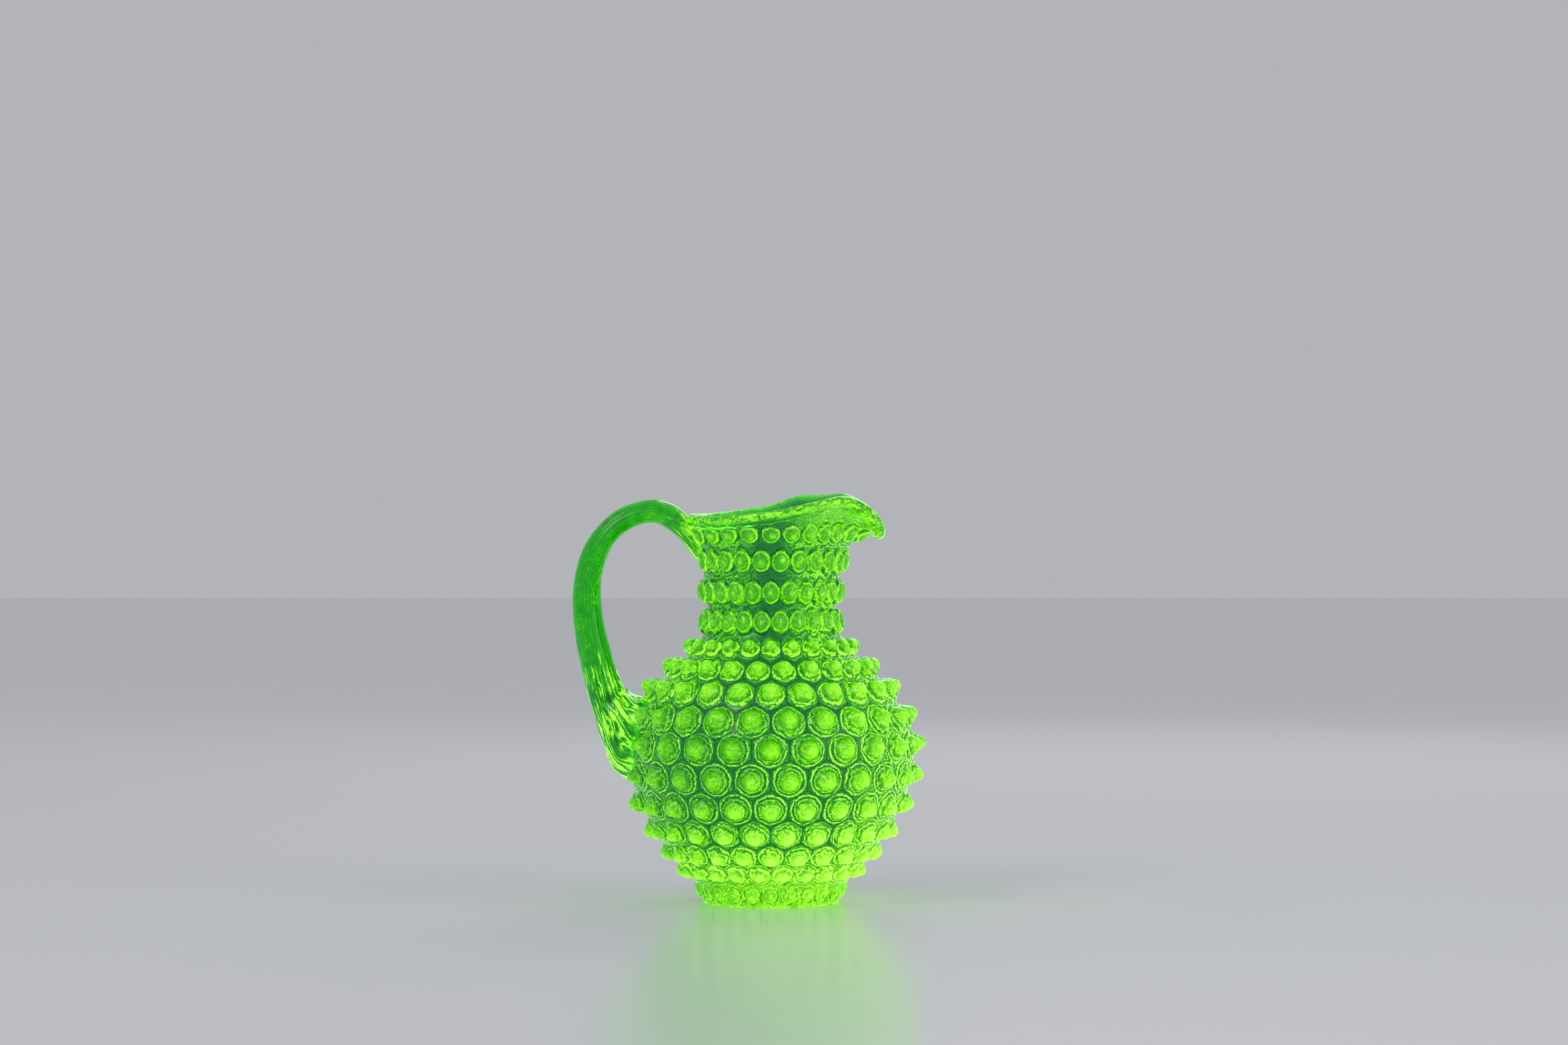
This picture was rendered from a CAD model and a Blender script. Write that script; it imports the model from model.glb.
"""Looks of the hobnail glass jug: the mould-blown vessel and its drawn handle in glowing
yellow-green glass, on a pale floor in soft studio light. Metres in Blender; the shapes below
are worked out in millimetres, in the same frame as the CAD, and each point is scaled as it
joins a mesh."""

import math

import bmesh
import bpy
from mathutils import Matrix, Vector, noise


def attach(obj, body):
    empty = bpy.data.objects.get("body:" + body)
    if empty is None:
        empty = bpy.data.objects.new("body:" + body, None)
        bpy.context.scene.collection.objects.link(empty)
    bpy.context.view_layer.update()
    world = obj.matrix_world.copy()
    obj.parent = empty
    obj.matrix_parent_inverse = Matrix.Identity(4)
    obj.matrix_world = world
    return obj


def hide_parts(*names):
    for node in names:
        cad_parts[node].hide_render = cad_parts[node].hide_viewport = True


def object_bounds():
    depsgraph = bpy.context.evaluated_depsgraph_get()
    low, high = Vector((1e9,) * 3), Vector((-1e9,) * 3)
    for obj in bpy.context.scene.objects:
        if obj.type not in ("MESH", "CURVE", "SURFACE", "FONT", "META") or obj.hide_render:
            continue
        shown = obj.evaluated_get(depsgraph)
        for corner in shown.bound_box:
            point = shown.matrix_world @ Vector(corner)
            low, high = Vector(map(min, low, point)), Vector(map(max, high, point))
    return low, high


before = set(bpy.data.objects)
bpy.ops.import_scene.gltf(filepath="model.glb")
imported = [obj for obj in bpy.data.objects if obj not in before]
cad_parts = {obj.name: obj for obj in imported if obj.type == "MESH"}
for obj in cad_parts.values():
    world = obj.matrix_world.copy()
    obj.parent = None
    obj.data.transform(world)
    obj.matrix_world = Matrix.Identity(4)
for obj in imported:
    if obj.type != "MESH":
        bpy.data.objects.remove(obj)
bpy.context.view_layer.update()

MM = 0.001

# Blown wall, as in the CAD part: (height, radius) of its outside between the hobnails.
WALL = 4.2
RIM_THICKNESS = 5.0
NECK_TOP = 190.0
NECK_TOP_FLARE = 0.14
OUTLINE = [
    (0.0, 38.0), (5.0, 40.2), (11.0, 42.8), (20.0, 49.6), (30.0, 58.0), (42.0, 66.4),
    (56.0, 74.0), (70.0, 78.8), (84.0, 80.6), (98.0, 78.6), (110.0, 73.4), (122.0, 65.4),
    (133.0, 55.6), (143.0, 46.0), (150.0, 40.4), (158.0, 37.2), (168.0, 36.6),
    (180.0, 38.0), (NECK_TOP, 39.4),
]
INSIDE_FOOT = [(8.5, 10.0), (9.6, 24.0), (14.6, 37.5), (22.0, 46.5)]
EVEN_WALL_FROM = 4
# Rim's edge: (degrees from the lip, radius, height, lean of the wall in degrees).
RIM = [
    (0, 61.0, 210.5, 160), (18, 58.8, 220.5, 122), (36, 52.5, 228.6, 70),
    (60, 49.5, 226.5, 40), (90, 49.0, 221.5, 30), (135, 47.5, 217.8, 26),
    (180, 45.0, 218.6, 22),
]
RIM_TILT = 2.0
LIP_SWELL = (3.6, 30.0)  # how much thicker the rolled lip is, and its spread in degrees
FAR_LIFT = (72.0, 15.0, 2.8)  # a rise of the far edge: its angle, half spread and height
WORKED_LENGTH = 34.0  # length given to the worked wall, from neck to rim, all the way round

# Hobnail rows from foot to rim. Knobs: (height, stand out, tip radius). Long beads:
# (height, stand out, half width, half height). Every second row is turned by half a pitch.
PER_ROW = 24
KNOB_SIDE_SLOPE = 1.376  # rise of a knob's side over its run: 36 degrees from its axis
TIP_TOUCH = 0.809  # where the round tip meets the side, in tip radii: out from the axis,
TIP_DROP = 0.412  # and down from the top
ROWS = [
    ("bead", 6.9, 2.0, 4.3, 5.6),
    ("knob", 19.6, 5.4, 3.0), ("knob", 29.8, 6.0, 3.1), ("knob", 42.4, 6.6, 3.2),
    ("knob", 57.2, 7.2, 3.2), ("knob", 73.6, 7.8, 3.2), ("knob", 90.2, 8.2, 3.2),
    ("knob", 105.6, 8.4, 3.4), ("knob", 120.4, 8.0, 3.7), ("knob", 132.6, 7.2, 4.1),
    ("knob", 144.4, 6.2, 4.3),
    ("bead", 159.6, 5.0, 5.4, 7.2), ("bead", 176.6, 4.9, 5.4, 7.2),
    ("bead", 193.6, 4.5, 5.6, 7.4), ("bead", 209.6, 4.0, 6.0, 6.2),
]
WIDEST = 82.0  # height where the belly is widest; knobs glow more above and below it
# Hobnails that the handle's two melted pads lie over are flatter: those above the first
# height, and those between the other two.
NECK_PAD_FROM = 185.0
BELLY_PAD = (66.0, 110.0)
EDGE_STEPS = 4  # points along one side of a hobnail's six-sided cell
CELL_TIP = 2 * EDGE_STEPS  # lattice steps from a cell's middle to its top or bottom corner
ROW_STEPS = 3 * EDGE_STEPS  # lattice steps from one row up to the next
COLUMNS = PER_ROW * 2 * EDGE_STEPS
PITCH = 2.0 * math.pi / PER_ROW  # angle from one hobnail to the next
INSIDE_RINGS = 56  # rings of points down the smooth inside
RING_GAP = 0.055  # least gap between a patch's rings, as a share of the way to its border
RIB_TOP = 9.0  # how far up the wall the foot's swirling ribs reach
RIB_DEPTH = 0.7  # how far they swell and dip
RIB_SWIRL = 0.32  # phase of the ribs, in radians for each millimetre down the wall

# Handle: where its bow passes on the outside and inside (x, height), and its half width.
HANDLE = [
    ((-40.5, 211.5), (-36.5, 186.5), 13.0), ((-47.5, 219.3), (-42.8, 195.0), 11.8),
    ((-56.5, 226.2), (-54.0, 208.4), 10.2), ((-67.8, 229.0), (-66.5, 215.6), 9.3),
    ((-86.5, 223.8), (-80.0, 212.2), 9.2), ((-100.6, 211.5), (-89.5, 204.0), 9.4),
    ((-109.0, 196.5), (-95.0, 192.0), 9.7), ((-112.9, 177.0), (-97.1, 177.0), 10.0),
    ((-112.2, 155.5), (-95.2, 158.0), 10.4), ((-108.3, 133.5), (-91.0, 142.0), 11.4),
    ((-102.2, 110.0), (-86.9, 128.5), 13.6), ((-96.2, 91.5), (-82.2, 120.6), 17.5),
    ((-89.6, 76.0), (-76.8, 117.2), 21.5), ((-77.5, 69.0), (-70.5, 116.6), 23.5),
]
REEDS = 26  # ridges round the handle
HANDLE_ROUND = 88  # points round it, and rings of them along it
HANDLE_ALONG = 150

LINES = 2.9  # lines drawn in the glow, in radians for each unit of contour
HOT = (0.5, 1.0, 0.08, 1.0)  # the glow at its strongest
GLASS_TINTS = (0.72, 1.0, 0.5, 1.0), (0.86, 1.0, 0.62, 1.0)
DRIFT_SCALE = 210.0  # how fine the patterns in the glass are: drift of the lines,
PORE_SCALE = 1300.0  # pores,
FLECK_SCALE = 1500.0  # and flecks

# The glass glows by two ultraviolet lamps: a strong one low on the lip's side and in front,
# and a weak one on the handle's side. Glass also glows more where it is thick, at the foot.
LAMP = Vector((0.6, -0.45, -0.66)).normalized()
LAMP_AIM = Vector((0.0, 0.0, 0.085))  # metres; glass on the lamp's side of it glows more
LAMP_REACH = 0.08  # metres towards the lamp over which that grows
NEAR_GLOW = 0.45  # how much more it glows there
FACING_GLOW = (0.76, 1.16)  # share of the glow on glass turned from and to the lamp
LIP_FROM = (206.0, 215.0)  # heights over which the glow gets less broken, up to the rim
SIDE_GLOW = (0.5, 0.68)  # glow of the wall between hobnails: handle's side, lip's side
FOOT_GLOW = 0.85
FRONT_GLOW = 0.04  # glow of the wall that neither lamp lights


# ---------------------------------------------------------------- curves

def curve_through(places, values, period=None):
    """A smooth function through values at increasing places, repeating after a period."""
    places, values = list(places), list(values)
    if period:
        places = [places[-2] - period] + places + [places[1] + period]
        values = [values[-2]] + values + [values[1]]
    last = len(places) - 1
    slopes = []
    for i in range(last + 1):
        a, b = max(i - 1, 0), min(i + 1, last)
        slopes.append((values[b] - values[a]) / (places[b] - places[a]))

    def at(place):
        if period:
            place %= period
        i = 0
        while i < last - 1 and places[i + 1] < place:
            i += 1
        run = places[i + 1] - places[i]
        t = (place - places[i]) / run
        if t < 0.0:
            return values[0] + slopes[0] * t * run
        if t > 1.0:
            return values[-1] + slopes[-1] * (t - 1.0) * run
        start = values[i] * (1.0 + 2.0 * t) + slopes[i] * run * t
        end = values[i + 1] * (3.0 - 2.0 * t) + slopes[i + 1] * run * (t - 1.0)
        return start * (1.0 - t) ** 2 + end * t * t

    return at


def mix(a, b, share):
    return a + (b - a) * share


def ramp(value, low, high):
    """0 at low, 1 at high, and smooth between them."""
    t = min(max((value - low) / (high - low), 0.0), 1.0)
    return t * t * (3.0 - 2.0 * t)


def soft_max(a, b, blend):
    """The larger of two numbers, rounded where they are alike."""
    both = max(blend - abs(a - b), 0.0) / blend
    return max(a, b) + both * both * blend * 0.25


def lengths(points):
    """How far along a line of points each of them lies."""
    places = [0.0]
    for (h0, r0), (h1, r1) in zip(points, points[1:]):
        places.append(places[-1] + math.hypot(h1 - h0, r1 - r0))
    return places


OUT_PLACES = lengths(OUTLINE)
CORE_LENGTH = OUT_PLACES[-1]
OUT_HEIGHT = curve_through(OUT_PLACES, [h for h, _ in OUTLINE])
OUT_RADIUS = curve_through(OUT_PLACES, [r for _, r in OUTLINE])


def core_slope(place):
    """The way up the blown wall at a place: (radius, height), of length one."""
    run = OUT_RADIUS(place + 0.2) - OUT_RADIUS(place - 0.2)
    rise = OUT_HEIGHT(place + 0.2) - OUT_HEIGHT(place - 0.2)
    length = math.hypot(run, rise)
    return run / length, rise / length


def inside_line():
    """(height, radius) points of the vessel's inside, from the floor up to the neck's top."""
    points = list(INSIDE_FOOT)
    for place in OUT_PLACES[EVEN_WALL_FROM:-1]:
        run, rise = core_slope(place)
        points.append((OUT_HEIGHT(place) + WALL * run, OUT_RADIUS(place) - WALL * rise))
    return points + [(NECK_TOP, OUTLINE[-1][1] - WALL)]


HALF_RIM = [float(a) for a, _, _, _ in RIM]
WHOLE_RIM = HALF_RIM + [360.0 - a for a in HALF_RIM[-2::-1]]


def round_the_rim(index):
    half = [row[index] for row in RIM]
    return curve_through(WHOLE_RIM, half + half[-2::-1], 360.0)


RIM_RADIUS, RIM_HEIGHT, RIM_LEAN = (round_the_rim(i) for i in (1, 2, 3))


def rim_thickness(turn):
    """The thickness of the rim's edge, which is rolled thicker at the lip."""
    swell, spread = LIP_SWELL
    away = (math.degrees(turn) + 180.0) % 360.0 - 180.0
    return RIM_THICKNESS + swell * math.exp(-((away / spread) ** 2))


def rim_end(turn):
    """Middle of the rim's edge at an angle, and which way the wall runs there."""
    degrees = math.degrees(turn) % 360.0
    lean = math.radians(RIM_LEAN(degrees))
    angle, spread, rise = FAR_LIFT
    lift = RIM_TILT * math.sin(turn) + rise * math.exp(-(((degrees - angle) / spread) ** 2))
    height = RIM_HEIGHT(degrees) + lift
    return (RIM_RADIUS(degrees), height), (math.sin(lean), math.cos(lean))


def worked(turn, share, side):
    """A point of the worked wall: share up it, side +1 on its outside and -1 inside."""
    end, way = rim_end(turn)
    start = (OUTLINE[-1][1] - 0.5 * WALL, NECK_TOP)
    pull = 0.42 * math.hypot(end[0] - start[0], end[1] - start[1])
    poles = [
        start,
        (start[0] + pull * NECK_TOP_FLARE, start[1] + pull),
        (end[0] - pull * way[0], end[1] - pull * way[1]),
        end,
    ]
    t, u = share, 1.0 - share
    weights = (u * u * u, 3 * u * u * t, 3 * u * t * t, t * t * t)
    point = [sum(w * p[k] for w, p in zip(weights, poles)) for k in (0, 1)]
    slopes = (u * u, 2 * u * t, t * t)
    along = [
        sum(w * (q[k] - p[k]) for w, p, q in zip(slopes, poles, poles[1:])) for k in (0, 1)
    ]
    if share <= 0.0:
        along = [0.0, 1.0]
    length = math.hypot(*along)
    half = 0.5 * side * mix(WALL, rim_thickness(turn), share**3)
    return point[0] + half * along[1] / length, point[1] - half * along[0] / length


def top_row_share(turn):
    """How far up the worked wall the top row's height is reached at an angle."""
    low, high = 0.0, 0.8
    for _ in range(20):
        middle = 0.5 * (low + high)
        level = worked(turn, middle, 1.0)[1]
        low, high = (middle, high) if level < ROWS[-1][1] else (low, middle)
    return low


SHARE_ANGLES = [10.0 * i for i in range(37)]
TOP_ROW_SHARE = curve_through(
    SHARE_ANGLES, [top_row_share(math.radians(a)) for a in SHARE_ANGLES], 360.0
)


def worked_share(turn, place):
    """The share of the worked wall at a length up the wall, so that rows keep level."""
    known = (0.0, TOP_ROW_SHARE(math.degrees(turn)), 1.0)
    heights = (0.0, ROWS[-1][1] - NECK_TOP, WORKED_LENGTH)
    return curve_through(heights, known)(place - CORE_LENGTH)


def foot_ribs(turn, place):
    """The ribs that swirl from the knobs of the foot down to its flat."""
    share = 1.0 - ramp(place, 1.5, RIB_TOP)
    return RIB_DEPTH * share * math.cos(PER_ROW * turn + RIB_SWIRL * (RIB_TOP - place))


def outside(turn, place):
    """(radius, height) of the outside between the hobnails, at a length up from the foot."""
    if place < CORE_LENGTH:
        radius = OUT_RADIUS(max(place, 0.0))
        if place < RIB_TOP:
            radius += foot_ribs(turn, place) * ramp(place, -0.5, 2.5)
        return radius, OUT_HEIGHT(max(place, 0.0))
    return worked(turn, worked_share(turn, place), 1.0)


def outward(turn, place):
    """The wall's outward direction (radius, height), and how long a step up it is."""
    low, high = outside(turn, place - 0.4), outside(turn, place + 0.4)
    run, rise = high[0] - low[0], high[1] - low[1]
    length = max(math.hypot(run, rise), 1e-6)
    return (rise / length, -run / length), length / 0.8


def place_at(height):
    """How far up the wall a row lies whose height is known."""
    if height > NECK_TOP:
        return CORE_LENGTH + height - NECK_TOP
    low, high = 0.0, CORE_LENGTH
    for _ in range(40):
        middle = 0.5 * (low + high)
        low, high = (middle, high) if OUT_HEIGHT(middle) < height else (low, middle)
    return low


ROW_PLACES = [place_at(row[1]) for row in ROWS]
PLACE_OF_ROW = curve_through(
    [-1.0] + list(range(len(ROWS) + 1)),
    [ROW_PLACES[0] * -0.28] + ROW_PLACES + [ROW_PLACES[-1] + 12.5],
)


# ---------------------------------------------------------------- hobnails

class Cell:
    """One hobnail with the six-sided patch of wall round it."""

    def __init__(self, row, index):
        self.row = row
        self.middle = index + (0.5 if row % 2 else 0.0)
        self.turn = self.middle * PITCH
        self.place = ROW_PLACES[row]
        self.base = outside(self.turn, self.place)
        self.out, self.step = outward(self.turn, self.place)
        kind, level, self.stand_out, self.width = ROWS[row][:4]
        self.bead = kind == "bead"
        self.tall = ROWS[row][4] if self.bead else self.width
        spread = noise.cell_vector(Vector((row * 3.7, index * 1.9, 0.5)))
        self.stand_out *= 1.0 + 0.035 * (spread.x - 0.5) * (0.4 if self.bead else 1.0)
        self.lean = (0.05 * (spread.y - 0.5), 0.05 * (spread.z - 0.5))
        self.catch = (0.3 * (spread.x - 0.2), 0.3 * (spread.y - 0.5))
        from_handle = abs(self.turn - math.pi)
        if level > NECK_PAD_FROM:
            self.stand_out *= mix(0.3, 1.0, ramp(from_handle, 0.16, 0.42))
        if BELLY_PAD[0] < level < BELLY_PAD[1]:
            self.stand_out *= mix(0.25, 1.0, ramp(from_handle, 0.2, 0.42))
        if not self.bead:
            across = self.base[0] * PITCH
            above = abs(PLACE_OF_ROW(row + 1) - PLACE_OF_ROW(row - 1)) * 0.5
            self.reach = 0.46 * min(across, math.hypot(0.5 * across, above))
            self.touch = self.width * TIP_TOUCH
            self.foot = self.touch + (self.stand_out - self.width * TIP_DROP) / KNOB_SIDE_SLOPE
            self.foot = min(self.foot, 0.92 * self.reach)
            self.shine = mix(1.0, 1.35, ramp(abs(level - WIDEST), 14.0, 44.0))

    def height_at(self, x, y):
        """How far the glass stands out at (x sideways, y upwards) from the middle."""
        if self.bead:
            share = math.sqrt((x / self.width) ** 2 + (y / self.tall) ** 2)
            dome = self.width * math.sqrt(max(1.0 - share * share, 0.0))
            return soft_max(self.stand_out - self.width + dome, 0.0, 0.7)
        distance = math.hypot(x, y)
        if distance < self.touch:
            side = self.stand_out - self.width + math.sqrt(self.width**2 - distance**2)
        else:
            top = self.stand_out - self.width * TIP_DROP
            run = max(self.foot - self.touch, 1.0)
            side = mix(top, 0.0, (distance - self.touch) / run)
            side = max(side, -1.0)
        plate = 0.62 * (1.0 - ramp(distance, self.reach - 1.3, self.reach + 0.5))
        return soft_max(side, plate, 1.1)

    def glow_at(self, x, y):
        """How brightly the glass glows there, from 0 in the channels to 1."""
        if self.bead:
            share = math.sqrt((x / self.width) ** 2 + (y / self.tall) ** 2)
            aside = math.hypot(x / self.width - self.catch[0], y / self.tall - self.catch[1])
            face = 0.5 + 0.5 * math.exp(-((aside / 0.3) ** 2))
            face += (0.6 if self.row else 0.3) * math.exp(-(((share - 0.78) / 0.07) ** 2))
            edge = 0.65 if self.row else 0.0
            return face * (1.0 - edge * ramp(share, 0.84, 1.0))
        distance = math.hypot(x, y)
        face = mix(0.86, 0.56, ramp(distance, 0.1 * self.foot, 0.95 * self.foot)) * self.shine
        face *= 1.0 - 0.6 * ramp(distance, self.foot - 0.3, self.foot + 0.4)
        face *= 1.0 - ramp(distance, self.foot, self.reach + 0.8)
        line = math.exp(-(((distance - self.reach + 0.35) / 0.62) ** 2))
        return face + 0.85 * line

    def contour_at(self, x, y):
        """Millimetres from the hobnail's middle, which the lines in its flanks follow."""
        if self.bead:
            return self.width * math.sqrt((x / self.width) ** 2 + (y / self.tall) ** 2)
        return math.hypot(x, y)

    def speckle_at(self, x, y):
        """How far the glow there is broken up by fine dark marks."""
        if self.bead:
            share = math.sqrt((x / self.width) ** 2 + (y / self.tall) ** 2)
            return mix(0.08, 0.85 if self.row else 0.45, ramp(share, 0.76, 0.88))
        distance = math.hypot(x, y)
        face = ramp(distance, 0.5 * self.foot, self.foot)
        return 0.85 * face * (1.0 - ramp(distance, self.reach, self.reach + 1.5))

    def rings(self):
        """How far out each ring of points lies: millimetres, or shares of a long bead."""
        if self.bead:
            return [0.22, 0.44, 0.62, 0.72, 0.79, 0.86, 0.93, 0.98, 1.03, 1.12]
        tip, run = self.touch, self.foot - self.touch
        skirt = self.reach - self.foot
        return (
            [0.35 * tip, 0.7 * tip, tip, tip + 0.35 * run, tip + 0.7 * run]
            + [self.foot + share * skirt for share in (-0.1, 0.28, 0.52, 0.76, 1.02)]
        )

    def rim_points(self):
        """Lattice places (sideways, upwards) of the patch's border, in order."""
        half, tip = EDGE_STEPS, CELL_TIP
        corners = [
            (half, -half), (half, half), (0, tip), (-half, half), (-half, -half), (0, -tip),
        ]
        points = []
        for (u0, v0), (u1, v1) in zip(corners, corners[1:] + corners[:1]):
            for step in range(EDGE_STEPS):
                share = step / EDGE_STEPS
                points.append((round(mix(u0, u1, share)), round(mix(v0, v1, share))))
        return points

    def local(self, turn, place):
        """Millimetres sideways and upwards of a point of the wall from the middle."""
        away = (turn - self.turn + math.pi) % (2.0 * math.pi) - math.pi
        return away * self.base[0], (place - self.place) * self.step


def lattice_key(cell, u, v):
    """The lattice point at steps sideways and upwards from a cell's middle."""
    return round(2 * EDGE_STEPS * cell.middle + u) % COLUMNS, ROW_STEPS * cell.row + v


def lattice_place(key):
    """Angle and length up the wall of a lattice point."""
    return key[0] * 2.0 * math.pi / COLUMNS, PLACE_OF_ROW(key[1] / ROW_STEPS)


def standing(turn, place, height):
    """The point that stands out from the wall by a height."""
    radius, level = outside(turn, place)
    out = outward(turn, place)[0]
    radius += height * out[0]
    return Vector((radius * math.cos(turn), radius * math.sin(turn), level + height * out[1]))


def knob_point(cell, turn, place, height, share):
    """A point of a hobnail. Near its middle it stands along the hobnail's own direction,
    and at the patch's border along the wall's."""
    radius, level = outside(turn, place)
    own = outward(turn, place)[0]
    out = (mix(cell.out[0], own[0], share), mix(cell.out[1], own[1], share))
    away = (turn - cell.turn) * (1.0 - share)
    side = Vector((math.cos(turn - away), math.sin(turn - away), 0.0))
    up = Vector((0.0, 0.0, 1.0))
    base = Vector((radius * math.cos(turn), radius * math.sin(turn), level))
    tilt = Vector((-side.y, side.x, 0.0)) * cell.lean[0] + up * cell.lean[1]
    return base + (side * out[0] + up * out[1] + tilt * (1.0 - share)) * height


# ---------------------------------------------------------------- the vessel's mesh

def wall_glow(point):
    """How brightly the vessel's wall glows of itself at a point, in metres."""
    across = math.hypot(point.x, point.y)
    side = point.x / max(across, 1e-6)
    height = point.z / MM
    neck = ramp(height, 112.0, 150.0)
    turned = ramp(abs(side), mix(0.45, 0.0, neck), mix(0.95, 0.6, neck))
    most = (SIDE_GLOW[1] if side > 0.0 else SIDE_GLOW[0]) * mix(1.0, 1.25, neck)
    thick = FOOT_GLOW * (1.0 - ramp(height, 12.0, 42.0))
    lip = 0.3 * ramp(height, 213.0, 219.0)
    return max(FRONT_GLOW, most * turned, thick, lip)


class Skin:
    """Vertices and faces, with how brightly and how evenly the glass glows at each vertex.
    Washed vertices lie on the vessel's outside and glow as wall_glow says too."""

    def __init__(self):
        self.points, self.faces = [], []
        self.glow, self.speckle, self.contour, self.washed = [], [], [], []

    def add(self, point, glow, speckle=0.3, contour=0.0, washed=True):
        self.points.append(point * MM)
        self.glow.append(glow)
        self.speckle.append(speckle)
        self.contour.append(contour)
        self.washed.append(washed)
        return len(self.points) - 1

    def band(self, low, high):
        """Faces between two closed rings of as many points."""
        count = len(low)
        for i in range(count):
            j = (i + 1) % count
            self.faces.append((low[i], low[j], high[j], high[i]))

    def fan(self, ring, middle):
        for i in range(len(ring)):
            self.faces.append((ring[i], ring[(i + 1) % len(ring)], middle))

    def build(self, name):
        mesh = bpy.data.meshes.new(name)
        mesh.from_pydata([tuple(p) for p in self.points], [], self.faces)
        edit = bmesh.new()
        edit.from_mesh(mesh)
        bmesh.ops.recalc_face_normals(edit, faces=edit.faces)
        edit.to_mesh(mesh)
        edit.free()
        mesh.polygons.foreach_set("use_smooth", [True] * len(mesh.polygons))
        mesh.update()
        glow, speckle = [], []
        for value, mark, washed, vertex in zip(
            self.glow, self.speckle, self.washed, mesh.vertices
        ):
            wash = wall_glow(vertex.co) if washed else 0.0
            facing = 0.5 + 0.5 * vertex.normal.dot(LAMP)
            near = ramp((vertex.co - LAMP_AIM).dot(LAMP), 0.0, LAMP_REACH)
            bare = 1.0 - min(value, 1.0)
            value += wash * bare**2
            glow.append(value * (mix(*FACING_GLOW, facing) + NEAR_GLOW * near))
            most = mix(0.9, 0.3, ramp(vertex.co.z / MM, *LIP_FROM))
            speckle.append(mix(mark, most, min(wash * 1.5, 1.0) * bare**2))
        marks = (("glow", glow), ("speckle", speckle), ("contour", self.contour))
        for mark, values in marks:
            layer = mesh.attributes.new(mark, "FLOAT", "POINT")
            layer.data.foreach_set("value", values)
        piece = bpy.data.objects.new(name, mesh)
        bpy.context.scene.collection.objects.link(piece)
        return piece


def hobnail_skin(skin):
    """All hobnails with the wall between them. Returns the border points by lattice key."""
    cells = [Cell(row, i) for row in range(len(ROWS)) for i in range(PER_ROW)]
    heights, glows, contours = {}, {}, {}
    for cell in cells:
        for u, v in cell.rim_points():
            key = lattice_key(cell, u, v)
            x, y = cell.local(*lattice_place(key))
            heights[key] = max(heights.get(key, 0.0), cell.height_at(x, y))
            glows[key] = max(glows.get(key, 0.0), cell.glow_at(x, y))
            contours[key] = cell.contour_at(x, y)
    border = {}
    for key, height in heights.items():
        turn, place = lattice_place(key)
        point = standing(turn, place, height)
        border[key] = skin.add(point, glows[key], 0.3, contours[key])
    for cell in cells:
        add_hobnail(skin, cell, border)
    return border


def add_hobnail(skin, cell, border):
    """One patch: rings of points round the middle of the hobnail, out to the border."""
    middle = knob_point(cell, cell.turn, cell.place, cell.stand_out, 0.0)
    inner = skin.add(middle, cell.glow_at(0.0, 0.0), 0.0)
    keys = [lattice_key(cell, u, v) for u, v in cell.rim_points()]
    ends = [cell.local(*lattice_place(key)) for key in keys]
    sizes = cell.rings()
    ring = None
    for j, size in enumerate(sizes):
        fresh = []
        for x_end, y_end in ends:
            if cell.bead:
                angle = math.atan2(y_end / cell.tall, x_end / cell.width)
                x, y = size * cell.width * math.cos(angle), size * cell.tall * math.sin(angle)
            else:
                angle = math.atan2(y_end, x_end)
                x, y = size * math.cos(angle), size * math.sin(angle)
            reached = math.hypot(x, y) / math.hypot(x_end, y_end)
            share = min(reached, 1.0 - RING_GAP * (len(sizes) - j))
            pull = share / reached
            if pull < 1.0:
                x, y = x * pull, y * pull
            blend = ramp(share, 0.0, 1.0)
            x, y = mix(x, share * x_end, blend**4), mix(y, share * y_end, blend**4)
            turn = cell.turn + x / cell.base[0]
            place = cell.place + y / cell.step
            height = cell.height_at(x, y)
            point = knob_point(cell, turn, place, height, blend**2)
            marks = cell.glow_at(x, y), cell.speckle_at(x, y), cell.contour_at(x, y)
            fresh.append(skin.add(point, *marks))
        if ring is None:
            skin.fan(fresh, inner)
        else:
            skin.band(ring, fresh)
        ring = fresh
    skin.band(ring, [border[key] for key in keys])


def off_middle(column):
    """Lattice steps from a column to the nearest middle of a hobnail in an even row."""
    return abs((column + EDGE_STEPS) % (2 * EDGE_STEPS) - EDGE_STEPS)


def turned(skin, profile, glow, speckle=0.2, contour=0.0, washed=True):
    """A ring of points round the axis. The profile gives (radius, height) at an angle."""
    made = []
    for column in range(COLUMNS):
        turn = 2.0 * math.pi * column / COLUMNS
        radius, level = profile(turn)
        point = Vector((radius * math.cos(turn), radius * math.sin(turn), level))
        made.append(skin.add(point, glow, speckle, contour, washed))
    return made


def close_foot(skin, lower):
    """Down from the foot's knobs and under it."""
    previous = lower
    for place, glow in ((0.6, 0.75), (0.1, 0.7)):
        fresh = turned(skin, lambda turn, p=place: outside(turn, p), glow)
        skin.band(fresh, previous)
        previous = fresh
    for radius, glow in ((37.2, 0.5), (33.0, 0.3), (20.0, 0.2), (8.0, 0.2)):
        fresh = turned(skin, lambda turn, r=radius: (r, 0.0), glow)
        skin.band(fresh, previous)
        previous = fresh
    skin.fan(previous, skin.add(Vector((0.0, 0.0, 0.0)), 0.2))


def rim_edge(turn, angle):
    """The rolled edge of the rim, from -90 degrees on its outside to 90 on its inside."""
    end, way = rim_end(turn)
    ahead = 0.5 * rim_thickness(turn) * math.cos(angle)
    aside = -0.5 * rim_thickness(turn) * math.sin(angle)
    return end[0] + ahead * way[0] + aside * way[1], end[1] + ahead * way[1] - aside * way[0]


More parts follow.
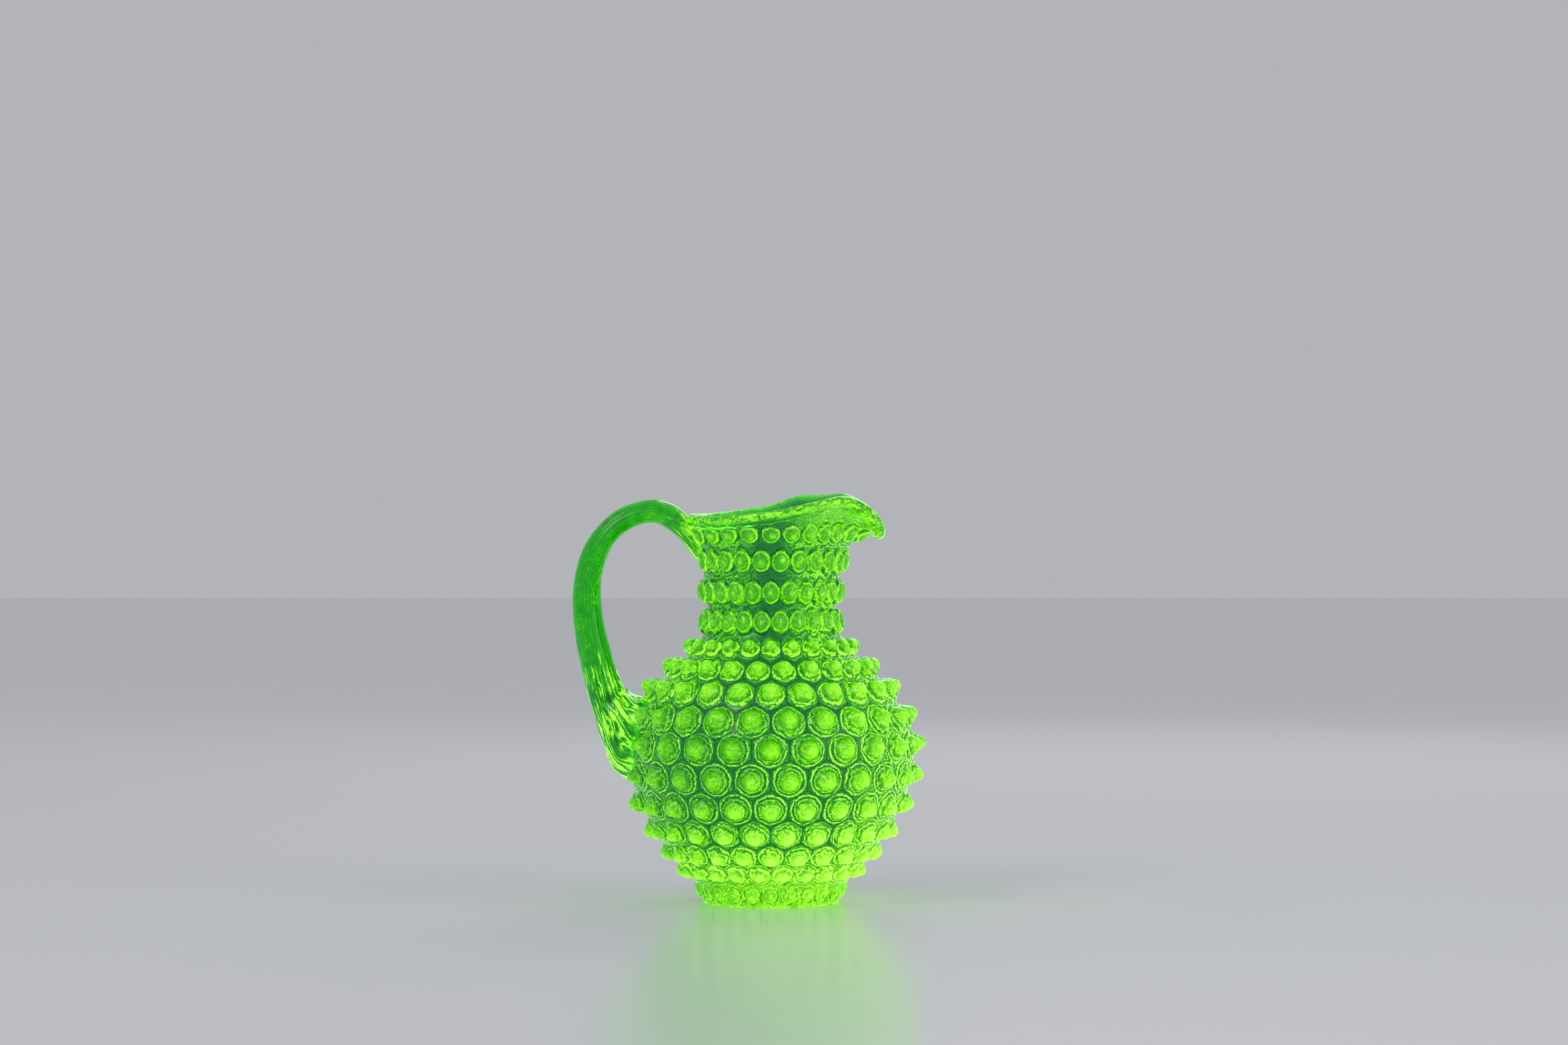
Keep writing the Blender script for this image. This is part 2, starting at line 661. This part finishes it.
def finish_rim(skin, upper):
    """Up the smooth band under the rim and round its edge. Returns the last ring."""
    previous = upper
    for share, glow in ((0.87, 0.2), (0.9, 0.4), (0.93, 0.18), (0.96, 0.3), (0.985, 0.75)):
        contour = WORKED_LENGTH * share
        fresh = turned(skin, lambda turn, s=share: worked(turn, s, 1.0), glow, 0.5, contour)
        skin.band(previous, fresh)
        previous = fresh
    for step in range(-4, 5):
        angle = math.radians(step * 22.5)
        glow = mix(1.05, 0.55, abs(step + 1.0) / 5.0)
        contour = WORKED_LENGTH + 0.3 * step
        fresh = turned(skin, lambda turn, a=angle: rim_edge(turn, a), glow, 0.5, contour)
        skin.band(previous, fresh)
        previous = fresh
    return previous


def line_inside(skin, rim):
    """Down the inside, from the rim to the middle of the floor."""
    previous = rim
    for step in range(9, -1, -1):
        share = step / 10.0
        glow = 0.02 + 0.4 * share**12
        contour = 20.0 * share
        fresh = turned(skin, lambda turn, s=share: worked(turn, s, -1.0), glow, 0.6, contour, False)
        skin.band(previous, fresh)
        previous = fresh
    line = inside_line()
    places = lengths(line)
    level, radius = (curve_through(places, [p[k] for p in line]) for k in (0, 1))
    for step in range(INSIDE_RINGS - 1, -1, -1):
        place = places[-1] * step / INSIDE_RINGS
        fresh = turned(skin, lambda turn, p=place: (radius(p), level(p)), 0.03, washed=False)
        skin.band(previous, fresh)
        previous = fresh
    skin.fan(previous, skin.add(Vector((0.0, 0.0, line[0][0])), 0.1, washed=False))


def vessel_skin():
    """The whole vessel, a closed skin of glass."""
    skin = Skin()
    border = hobnail_skin(skin)
    top_row = ROW_STEPS * (len(ROWS) - 1)
    lower = [border[(c, off_middle(c) - CELL_TIP)] for c in range(COLUMNS)]
    upper = [border[(c, top_row + CELL_TIP - off_middle(c))] for c in range(COLUMNS)]
    close_foot(skin, lower)
    line_inside(skin, finish_rim(skin, upper))
    return skin


# ---------------------------------------------------------------- the handle's mesh

def handle_curves():
    """The handle's length, and its top, underside and half width as functions along it."""
    tops = [Vector((x, 0.0, z)) for (x, z), _, _ in HANDLE]
    unders = [Vector((x, 0.0, z)) for _, (x, z), _ in HANDLE]
    middles = [0.5 * (top + under) for top, under in zip(tops, unders)]
    places = [0.0]
    for low, high in zip(middles, middles[1:]):
        places.append(places[-1] + (high - low).length)

    def line(points):
        x = curve_through(places, [p.x for p in points])
        z = curve_through(places, [p.z for p in points])
        return lambda place: Vector((x(place), 0.0, z(place)))

    half = curve_through(places, [row[2] for row in HANDLE])
    return places[-1], line(tops), line(unders), half


def handle_skin():
    """The drawn rod, reeded along its length, with its two melted ends."""
    skin = Skin()
    whole, top_at, under_at, half_at = handle_curves()
    previous, first = None, None
    for k in range(HANDLE_ALONG + 1):
        place = whole * k / HANDLE_ALONG
        top, under = top_at(place), under_at(place)
        middle, across = 0.5 * (top + under), 0.5 * (top - under)
        near_neck = 1.0 - ramp(place, 8.0, 34.0)
        near_belly = ramp(place, whole - 62.0, whole - 18.0)
        ring = []
        for i in range(HANDLE_ROUND):
            angle = 2.0 * math.pi * i / HANDLE_ROUND
            x, y = math.cos(angle), math.sin(angle)
            reed = math.cos(REEDS * angle) * (0.018 + 0.03 * near_neck)
            lumps = noise.noise(Vector((3.0 * x, 3.0 * y, place / 9.0)))
            streaks = noise.noise(Vector((9.0 * x, 9.0 * y, place / 16.0)))
            swell = 1.0 + reed + lumps * (0.012 + 0.06 * near_belly + 0.03 * near_neck)
            point = middle + across * (x * swell)
            point += Vector((0.0, half_at(place) * y * swell, 0.0))
            # Streaks of melted glass run out of both pads by different lengths.
            reach = place + 16.0 * streaks
            melted = max(ramp(reach, whole - 54.0, whole - 40.0), 1.0 - ramp(reach, 12.0, 26.0))
            glow = mix(0.58 + 0.05 * x, 1.0 + 1.1 * lumps, melted)
            lines = (REEDS * angle + melted * (9.0 * lumps + 5.0 * streaks)) / LINES
            ring.append(skin.add(point, glow, mix(0.1, 0.75, melted), lines, False))
        if previous:
            skin.band(previous, ring)
        first = first or ring
        previous = ring
    for ring, place in ((first, 0.0), (previous, whole)):
        middle = 0.5 * (top_at(place) + under_at(place))
        skin.fan(ring, skin.add(middle, 0.4, washed=False))
    return skin


# ---------------------------------------------------------------- materials

def node(tree, kind, **values):
    made = tree.nodes.new(kind)
    for key, value in values.items():
        setattr(made, key, value)
    return made


def noise_at(tree, place, scale, detail, distortion):
    """A noise pattern over the piece, as an output from 0 to 1."""
    pattern = node(tree, "ShaderNodeTexNoise")
    pattern.inputs["Scale"].default_value = scale
    pattern.inputs["Detail"].default_value = detail
    pattern.inputs["Distortion"].default_value = distortion
    tree.links.new(place.outputs["Object"], pattern.inputs["Vector"])
    return pattern.outputs["Fac"]


def spread(tree, value, low, high, to_low, to_high):
    """A value's range from low to high stretched to another range."""
    made = node(tree, "ShaderNodeMapRange")
    for place, number in enumerate((low, high, to_low, to_high), start=1):
        made.inputs[place].default_value = number
    tree.links.new(value, made.inputs["Value"])
    return made.outputs["Result"]


def maths(tree, operation, *values):
    """The result of an operation on outputs and plain numbers."""
    made = node(tree, "ShaderNodeMath", operation=operation)
    for place, value in enumerate(values):
        if isinstance(value, float):
            made.inputs[place].default_value = value
        else:
            tree.links.new(value, made.inputs[place])
    return made.outputs["Value"]


def two_tone(tree, share, first, second):
    """A colour between two others. A Mix node's colours are its inputs 6 and 7, and its
    output 2."""
    made = node(tree, "ShaderNodeMix", data_type="RGBA")
    made.inputs[6].default_value = first
    made.inputs[7].default_value = second
    tree.links.new(share, made.inputs[0])
    return made.outputs[2]


def contour_lines(tree, place, wander):
    """Wandering lines, bright and dark in turn, that follow each hobnail's flanks or the
    handle's reeds."""
    distance = node(tree, "ShaderNodeAttribute", attribute_name="contour").outputs["Fac"]
    drift = noise_at(tree, place, DRIFT_SCALE, 2.0, 0.9)
    phase = maths(tree, "MULTIPLY", drift, wander)
    return maths(tree, "SINE", maths(tree, "MULTIPLY_ADD", distance, LINES, phase))


def glow_strength(tree, place, cords, wander):
    """How strongly the glass glows: as much as its points say, mottled by its cords and
    pores, and broken up by lines and flecks where its points say so."""
    glow = node(tree, "ShaderNodeAttribute", attribute_name="glow").outputs["Fac"]
    speckle = node(tree, "ShaderNodeAttribute", attribute_name="speckle").outputs["Fac"]
    pores = node(tree, "ShaderNodeTexVoronoi")
    pores.inputs["Scale"].default_value = PORE_SCALE
    tree.links.new(place.outputs["Object"], pores.inputs["Vector"])
    flecks = noise_at(tree, place, FLECK_SCALE, 2.0, 0.6)

    patches = spread(tree, cords, 0.3, 0.7, 0.75, 1.15)
    dots = spread(tree, pores.outputs["Distance"], 0.1, 0.6, 1.14, 0.78)
    mottled = maths(tree, "MULTIPLY", glow, maths(tree, "MULTIPLY", patches, dots))
    lined = maths(tree, "MULTIPLY", speckle, contour_lines(tree, place, wander))
    shine = maths(tree, "MULTIPLY", mottled, maths(tree, "MULTIPLY_ADD", lined, 0.7, 1.0))
    flecked = maths(tree, "MULTIPLY", speckle, spread(tree, flecks, 0.42, 0.58, 0.0, 1.0))
    whole = maths(tree, "MULTIPLY_ADD", flecked, -0.45, 1.0)
    return maths(tree, "MULTIPLY", shine, maths(tree, "MULTIPLY", whole, 0.8))


def glow_colour(tree, strength, bright, middle, deep, dark):
    """The colour of the glow, by how strong it is."""
    colours = node(tree, "ShaderNodeValToRGB")
    stops = colours.color_ramp.elements
    stops[0].position, stops[0].color = 0.02, dark
    stops[1].position, stops[1].color = 1.0, HOT
    for position, colour in ((0.16, deep), (0.44, middle), (0.8, bright)):
        stops.new(position).color = colour
    tree.links.new(strength, colours.inputs["Fac"])
    return colours.outputs["Color"]


def glass(name, bright, middle, deep, dark, absorption, density, grain, wander):
    """Glass that glows by its own light: bright on hobnails and edges, dark between them.
    Its cords are the faint streaks in blown glass."""
    material = bpy.data.materials.new(name)
    material.use_nodes = True
    tree = material.node_tree
    tree.nodes.clear()
    link = tree.links.new
    output = node(tree, "ShaderNodeOutputMaterial")
    shader = node(tree, "ShaderNodeBsdfPrincipled")
    shader.inputs["IOR"].default_value = 1.52
    shader.inputs["Specular IOR Level"].default_value = 0.3
    shader.inputs["Transmission Weight"].default_value = 1.0
    shader.inputs["Emission Strength"].default_value = 1.0
    link(shader.outputs["BSDF"], output.inputs["Surface"])

    place = node(tree, "ShaderNodeTexCoord")
    cords = noise_at(tree, place, grain, 3.0, 1.2)
    strength = glow_strength(tree, place, cords, wander)
    colour = glow_colour(tree, strength, bright, middle, deep, dark)
    link(colour, shader.inputs["Emission Color"])
    link(two_tone(tree, cords, *GLASS_TINTS), shader.inputs["Base Color"])
    link(spread(tree, cords, 0.0, 1.0, 0.0, 0.03), shader.inputs["Roughness"])

    bump = node(tree, "ShaderNodeBump")
    bump.inputs["Strength"].default_value = 0.35
    bump.inputs["Distance"].default_value = 0.0012
    link(cords, bump.inputs["Height"])
    link(bump.outputs["Normal"], shader.inputs["Normal"])

    inside = node(tree, "ShaderNodeVolumeAbsorption")
    inside.inputs["Color"].default_value = absorption
    inside.inputs["Density"].default_value = density
    link(inside.outputs["Volume"], output.inputs["Volume"])
    return material


def plain(name, colour, roughness):
    """Stage paint with a faint mottle, slightly glossy."""
    material = bpy.data.materials.new(name)
    material.use_nodes = True
    tree = material.node_tree
    shader = tree.nodes["Principled BSDF"]
    shader.inputs["Roughness"].default_value = roughness
    mottle = node(tree, "ShaderNodeTexNoise")
    mottle.inputs["Scale"].default_value = 3.0
    darker = tuple(0.97 * c for c in colour[:3]) + (1.0,)
    mixed = two_tone(tree, mottle.outputs["Fac"], colour, darker)
    tree.links.new(mixed, shader.inputs["Base Color"])
    return material


# ---------------------------------------------------------------- pieces

def put(piece, material, *nodes):
    """Gives a piece its material and the CAD nodes that it stands for."""
    piece.data.materials.append(material)
    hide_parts(*nodes)
    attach(piece, "root")


VESSEL_GLASS = glass(
    "vessel_glass", bright=(0.3, 1.0, 0.01, 1.0), middle=(0.06, 0.46, 0.0, 1.0),
    deep=(0.0, 0.13, 0.012, 1.0), dark=(0.0, 0.05, 0.022, 1.0),
    absorption=(0.02, 0.55, 0.33, 1.0), density=800.0, grain=260.0, wander=14.0,
)
HANDLE_GLASS = glass(
    "handle_glass", bright=(0.3, 1.0, 0.01, 1.0), middle=(0.003, 0.38, 0.0, 1.0),
    deep=(0.0, 0.16, 0.0, 1.0), dark=(0.0, 0.06, 0.0, 1.0),
    absorption=(0.02, 0.55, 0.06, 1.0), density=900.0, grain=90.0, wander=3.5,
)
put(vessel_skin().build("vessel_looks"), VESSEL_GLASS, "vessel")
put(handle_skin().build("handle_looks"), HANDLE_GLASS, "handle")


# ---------------------------------------------------------------- stage, light, camera

def stage_floor():
    bpy.ops.mesh.primitive_grid_add(x_subdivisions=8, y_subdivisions=8, size=24.0)
    floor = bpy.context.active_object
    floor.name = "floor"
    floor.location.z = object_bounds()[0][2]
    floor.data.materials.append(plain("floor_paint", (0.78, 0.79, 0.81, 1.0), 0.22))


def soft_light(name, at, aim, size, power, colour):
    data = bpy.data.lights.new(name, "AREA")
    data.shape, data.size, data.energy, data.color = "SQUARE", size, power, colour
    lamp = bpy.data.objects.new(name, data)
    lamp.location = at
    lamp.rotation_euler = (Vector(aim) - Vector(at)).to_track_quat("-Z", "Y").to_euler()
    bpy.context.scene.collection.objects.link(lamp)


def studio():
    world = bpy.data.worlds.new("studio")
    bpy.context.scene.world = world
    world.use_nodes = True
    sky = world.node_tree.nodes["Background"]
    sky.inputs["Color"].default_value = (0.86, 0.88, 0.93, 1.0)
    sky.inputs["Strength"].default_value = 0.52
    middle = (0.0, 0.0, 0.11)
    soft_light("key", (-1.2, -1.4, 1.6), middle, 1.0, 9.0, (1.0, 1.0, 1.0))
    soft_light("fill", (1.6, -0.9, 0.9), middle, 1.2, 5.0, (0.95, 0.97, 1.0))
    soft_light("back", (0.5, 1.6, 1.3), middle, 1.0, 6.0, (1.0, 1.0, 1.0))


def camera():
    data = bpy.data.cameras.new("camera")
    data.sensor_width = 36.0
    data.lens = 85.0
    data.clip_end = 60.0
    view = bpy.data.objects.new("camera", data)
    view.location = (0.0073, -2.11, 0.203)
    view.rotation_euler = (math.radians(90.0 + 0.35), 0.0, 0.0)
    bpy.context.scene.collection.objects.link(view)
    bpy.context.scene.camera = view


stage_floor()
studio()
camera()
scene = bpy.context.scene
scene.view_settings.view_transform = "Standard"
scene.cycles.max_bounces = 18
scene.cycles.transmission_bounces = 16
scene.cycles.use_denoising = True
scene.cycles.sample_clamp_indirect = 6.0
